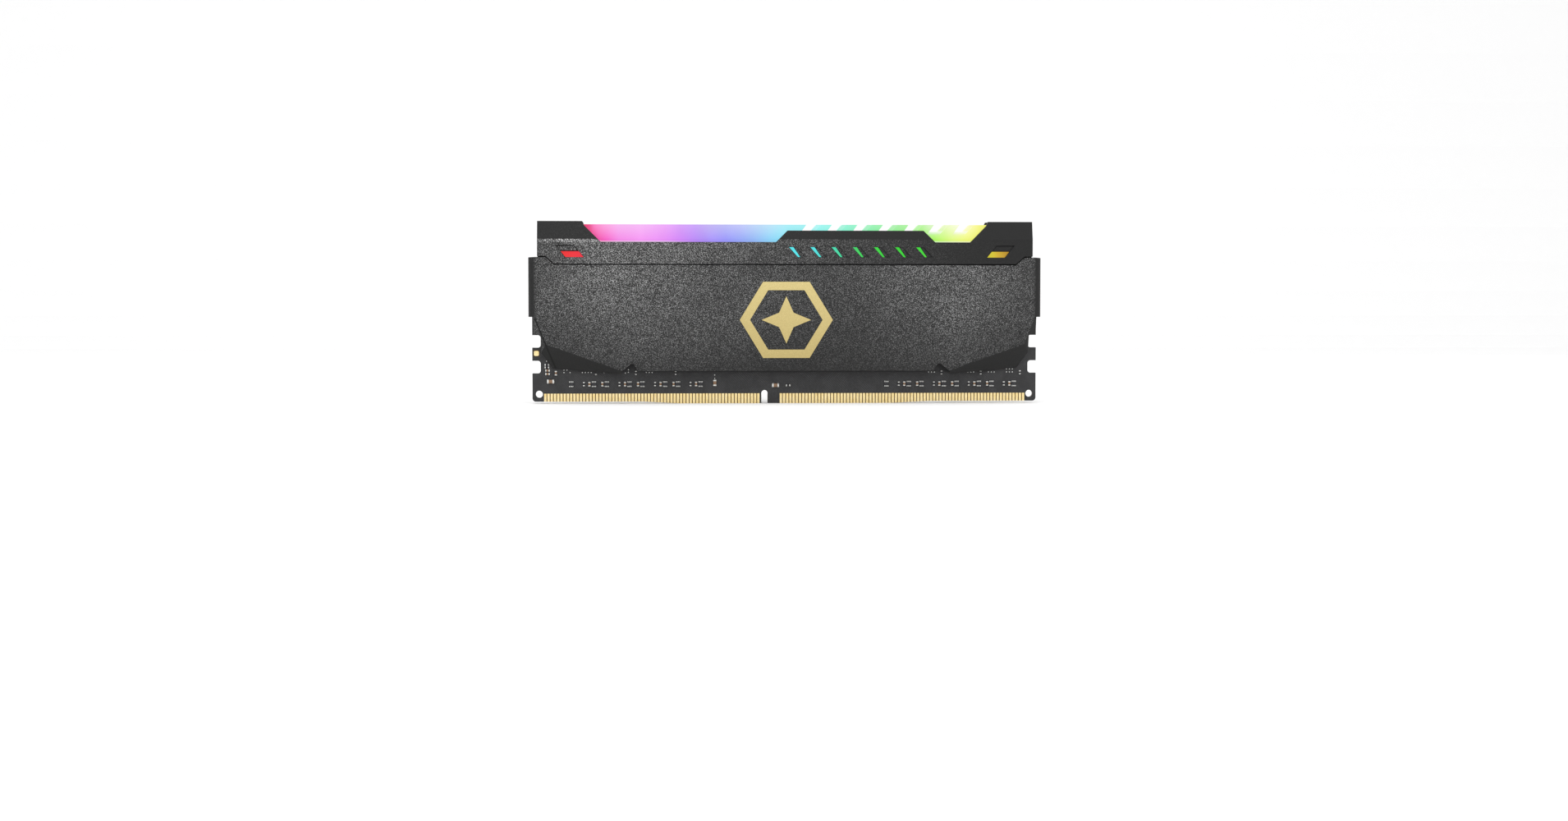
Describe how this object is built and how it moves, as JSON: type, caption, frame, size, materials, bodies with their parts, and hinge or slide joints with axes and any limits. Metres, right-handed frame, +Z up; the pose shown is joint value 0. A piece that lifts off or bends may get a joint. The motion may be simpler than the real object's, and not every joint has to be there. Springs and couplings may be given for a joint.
{
  "type": "ram module",
  "caption": "Desktop memory module: black circuit board with gold edge contacts, grained black heat spreaders, windowed top frame and a frosted rainbow light bar.",
  "frame": {"origin": "middle of the circuit board's length and thickness, at the lowest point of its contact edge", "axes": "+X along the board to the right seen from the front, +Y through its thickness toward the rear, +Z up, away from the contacts and out of the socket"},
  "size_m": [0.1352, 0.0086, 0.0479],
  "materials": {
    "circuit_board": "black solder mask with fine traces, satin",
    "gold_contacts": "gold-plated, polished",
    "chip_package": "black moulding compound, matt",
    "led_package": "white LED package",
    "capacitor_body": "brown ceramic with tinned ends",
    "resistor_body": "black glazed ceramic with tinned ends",
    "thermal_pad": "soft grey gap pad",
    "light_bar": "frosted translucent, lit in a spectrum along its length",
    "adhesive_tape": "double-sided tape",
    "spreader_coat": "black coat with fine sparkling grain",
    "frame_coat": "black coat with fine sparkling grain, smooth on the bevels",
    "gold_print": "pale gold print over the grained coat",
    "label": "blank satin label"
  },
  "bodies": {
    "root": {"board": "circuit_board", "edge_contacts_front": "gold_contacts", "edge_contacts_rear": "gold_contacts", "fiducial_pad": "gold_contacts", "memory_chip_front_1": "chip_package", "memory_chip_front_2": "chip_package", "memory_chip_front_3": "chip_package", "memory_chip_front_4": "chip_package", "memory_chip_front_5": "chip_package", "memory_chip_front_6": "chip_package", "memory_chip_front_7": "chip_package", "memory_chip_front_8": "chip_package", "memory_chip_rear_1": "chip_package", "memory_chip_rear_2": "chip_package", "memory_chip_rear_3": "chip_package", "memory_chip_rear_4": "chip_package", "memory_chip_rear_5": "chip_package", "memory_chip_rear_6": "chip_package", "memory_chip_rear_7": "chip_package", "memory_chip_rear_8": "chip_package", "config_memory_chip": "chip_package", "light_controller_chip": "chip_package", "colour_led_1": "led_package", "colour_led_2": "led_package", "colour_led_3": "led_package", "colour_led_4": "led_package", "colour_led_5": "led_package", "colour_led_6": "led_package", "colour_led_7": "led_package", "colour_led_8": "led_package", "capacitors_front": "capacitor_body", "capacitors_rear": "capacitor_body", "resistors_front": "resistor_body", "resistors_rear": "resistor_body", "resistor_arrays_front": "resistor_body", "resistor_arrays_rear": "resistor_body", "thermal_pad_front": "thermal_pad", "thermal_pad_rear": "thermal_pad", "light_bar": "light_bar", "bar_tape_front": "adhesive_tape", "bar_tape_rear": "adhesive_tape", "heat_spreader_front": "spreader_coat", "heat_spreader_rear": "spreader_coat", "top_frame_front": "frame_coat", "top_frame_rear": "frame_coat", "emblem_front": "gold_print", "emblem_rear": "gold_print", "rear_label": "label"}
  },
  "joints": []
}
